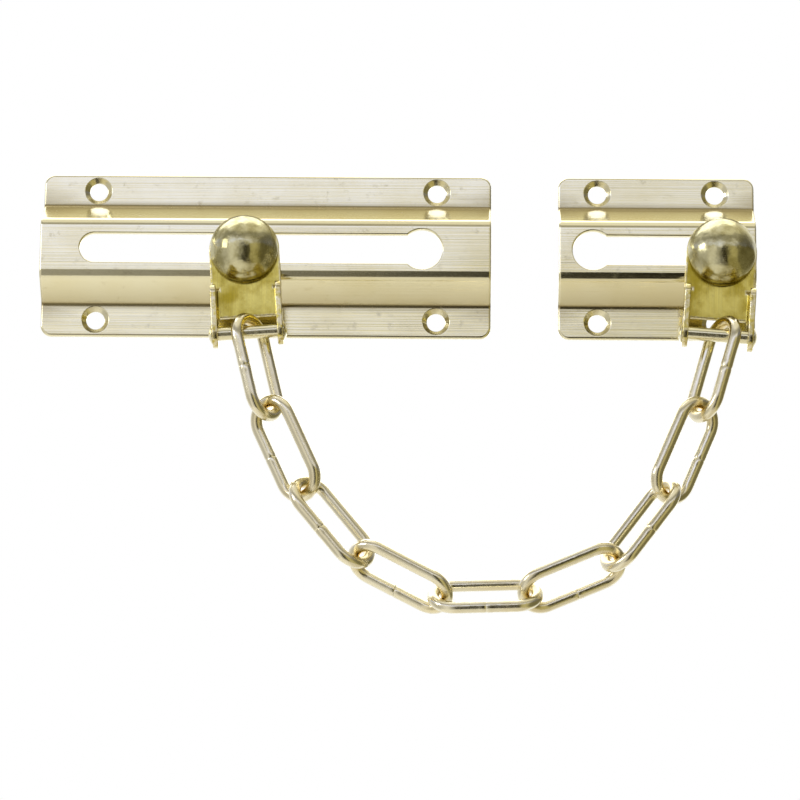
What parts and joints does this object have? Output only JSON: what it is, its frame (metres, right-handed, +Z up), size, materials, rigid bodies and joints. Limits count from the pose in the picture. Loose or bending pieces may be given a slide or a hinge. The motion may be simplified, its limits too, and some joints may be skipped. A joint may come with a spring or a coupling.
{
  "type": "door chain",
  "caption": "Surface-fixed door chain: slotted track plate, smaller keep plate and a chain of oval links hung between a sliding knob and a fixed one.",
  "frame": {"origin": "middle of the track plate's four screw holes, on the plane of the door", "axes": "+X along the track towards the keep plate, +Y into the door, +Z up; the chain hangs towards -Z and the knobs face -Y"},
  "size_m": [0.1634, 0.0192, 0.1051],
  "materials": {
    "plate_brass": "polished and lacquered rolled brass sheet with fine lengthwise lines",
    "knob_brass": "turned and polished brass",
    "rivet_brass": "plain turned brass",
    "strap_brass": "polished folded brass strip",
    "chain_brass": "bright drawn brass wire"
  },
  "bodies": {
    "plates": {"track_plate": "plate_brass", "keep_plate": "plate_brass", "anchor_knob": "knob_brass", "anchor_disc": "rivet_brass"},
    "slide": {"slide_knob": "knob_brass", "slide_disc": "rivet_brass"},
    "slide_strap": {"slide_hanger": "strap_brass", "slide_hanger_pin": "rivet_brass"},
    "link_1": {"chain_link_1": "chain_brass"},
    "link_2": {"chain_link_2": "chain_brass"},
    "link_3": {"chain_link_3": "chain_brass"},
    "link_4": {"chain_link_4": "chain_brass"},
    "link_5": {"chain_link_5": "chain_brass"},
    "link_6": {"chain_link_6": "chain_brass"},
    "link_7": {"chain_link_7": "chain_brass"},
    "link_8": {"chain_link_8": "chain_brass"},
    "link_9": {"chain_link_9": "chain_brass"},
    "anchor_strap": {"anchor_hanger": "strap_brass", "anchor_hanger_pin": "rivet_brass"}
  },
  "joints": [
    {"name": "slide_travel", "type": "slide", "parent": "plates", "child": "slide", "axis": [1, 0, 0], "range_m": [-0.0343, 0.0404]},
    {"name": "slide_strap_swing", "type": "hinge", "parent": "slide", "child": "slide_strap", "pos_m": [-0.0047, -0.01375, -0.0008], "axis": [0, 1, 0], "range_deg": [-12.19, 14.36]},
    {"name": "link_1_swing", "type": "hinge", "parent": "slide_strap", "child": "link_1", "pos_m": [-0.00339, -0.01375, -0.01955], "axis": [0, 1, 0], "range_deg": [-3.11, 3.66]},
    {"name": "link_2_swing", "type": "hinge", "parent": "link_1", "child": "link_2", "pos_m": [0.00145, -0.01375, -0.03896], "axis": [0, 1, 0], "range_deg": [-1.65, 1.4]},
    {"name": "link_3_swing", "type": "hinge", "parent": "link_2", "child": "link_3", "pos_m": [0.0099, -0.01375, -0.05709], "axis": [0, 1, 0], "range_deg": [-3.8, 3.23]},
    {"name": "link_4_swing", "type": "hinge", "parent": "link_3", "child": "link_4", "pos_m": [0.02276, -0.01375, -0.07241], "axis": [0, 1, 0], "range_deg": [-7.58, 6.44]},
    {"name": "link_5_swing", "type": "hinge", "parent": "link_4", "child": "link_5", "pos_m": [0.04056, -0.01375, -0.08153], "axis": [0, 1, 0], "range_deg": [-4.61, 3.91]},
    {"name": "link_6_swing", "type": "hinge", "parent": "link_5", "child": "link_6", "pos_m": [0.06055, -0.01375, -0.08083], "axis": [0, 1, 0], "range_deg": [-6.12, 5.2]},
    {"name": "link_7_swing", "type": "hinge", "parent": "link_6", "child": "link_7", "pos_m": [0.07896, -0.01375, -0.07301], "axis": [0, 1, 0], "range_deg": [-6.32, 5.37]},
    {"name": "link_8_swing", "type": "hinge", "parent": "link_7", "child": "link_8", "pos_m": [0.09099, -0.01375, -0.05704], "axis": [0, 1, 0], "range_deg": [-5.54, 4.7]},
    {"name": "link_9_swing", "type": "hinge", "parent": "link_8", "child": "link_9", "pos_m": [0.09881, -0.01375, -0.03863], "axis": [0, 1, 0], "range_deg": [-1.76, 1.5]},
    {"name": "anchor_strap_swing", "type": "hinge", "parent": "plates", "child": "anchor_strap", "pos_m": [0.10388, -0.01375, -0.0008], "axis": [0, 1, 0], "range_deg": [-11.17, 9.48]}
  ],
  "couplings": [
    {"joint": "slide_strap_swing", "follows": "slide_travel", "rad_per_m": 6.204},
    {"joint": "link_1_swing", "follows": "slide_travel", "rad_per_m": 1.582},
    {"joint": "link_2_swing", "follows": "slide_travel", "rad_per_m": -0.711},
    {"joint": "link_3_swing", "follows": "slide_travel", "rad_per_m": -1.642},
    {"joint": "link_4_swing", "follows": "slide_travel", "rad_per_m": -3.275},
    {"joint": "link_5_swing", "follows": "slide_travel", "rad_per_m": -1.989},
    {"joint": "link_6_swing", "follows": "slide_travel", "rad_per_m": -2.644},
    {"joint": "link_7_swing", "follows": "slide_travel", "rad_per_m": -2.73},
    {"joint": "link_8_swing", "follows": "slide_travel", "rad_per_m": -2.391},
    {"joint": "link_9_swing", "follows": "slide_travel", "rad_per_m": -0.761},
    {"joint": "anchor_strap_swing", "follows": "slide_travel", "rad_per_m": -4.824}
  ]
}
